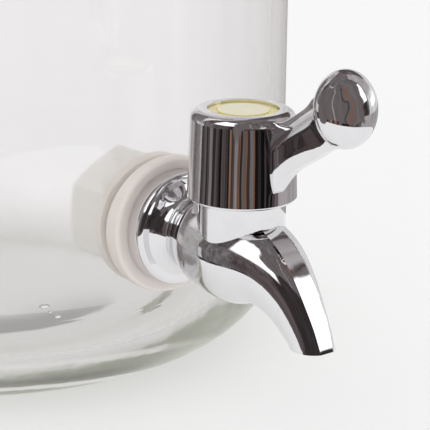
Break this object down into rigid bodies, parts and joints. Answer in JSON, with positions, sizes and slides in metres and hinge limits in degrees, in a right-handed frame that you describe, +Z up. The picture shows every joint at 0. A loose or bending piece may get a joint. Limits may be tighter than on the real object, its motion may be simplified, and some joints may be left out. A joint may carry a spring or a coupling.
{
  "type": "cocktail dispenser",
  "caption": "Clear glass drink jar that stands on its foot, with a lift-off metal lid and a chrome lever tap clamped through its wall; the lever turns the valve open.",
  "frame": {"origin": "centre of the jar's foot ring, in the plane that it stands on", "axes": "+Z up along the jar's axis, -Y out along the tap's stem towards the user, +X to the right of a user who faces the tap"},
  "size_m": [0.1716, 0.2398, 0.3004],
  "materials": {
    "clear_glass": "clear, fire-polished",
    "tap_chrome": "bright plating on plastic",
    "silicone": "translucent, satin",
    "white_plastic": "moulded, satin",
    "insert_yellow": "moulded, gloss",
    "valve_plastic": "moulded",
    "black_rubber": "matte",
    "steel": "plain",
    "lid_metal": "polished"
  },
  "bodies": {
    "jar": {"glass_jar": "clear_glass", "outer_washer": "silicone", "inner_washer": "silicone", "stem_nut": "white_plastic", "tap_body": "tap_chrome", "port_seal": "silicone", "gland_nut": "valve_plastic"},
    "handle": {"handle_cap": "tap_chrome", "lever_knob": "tap_chrome", "cap_insert": "insert_yellow", "valve_plug": "valve_plastic", "plug_o_ring_upper": "black_rubber", "plug_o_ring_lower": "black_rubber", "thrust_washer": "valve_plastic", "handle_screw": "steel", "screw_washer": "steel"},
    "lid": {"lid": "lid_metal", "lid_seal": "silicone", "lid_knob": "lid_metal", "lid_screw": "steel", "lid_washer": "steel"}
  },
  "joints": [
    {"name": "handle_turn", "type": "hinge", "parent": "jar", "child": "handle", "pos_m": [0, -0.1142, 0.0474], "axis": [0, 0, 1], "range_deg": [-90, 90]},
    {"name": "lid_lift", "type": "slide", "parent": "jar", "child": "lid", "axis": [0, 0, 1], "range_m": [0, 0.08]}
  ]
}
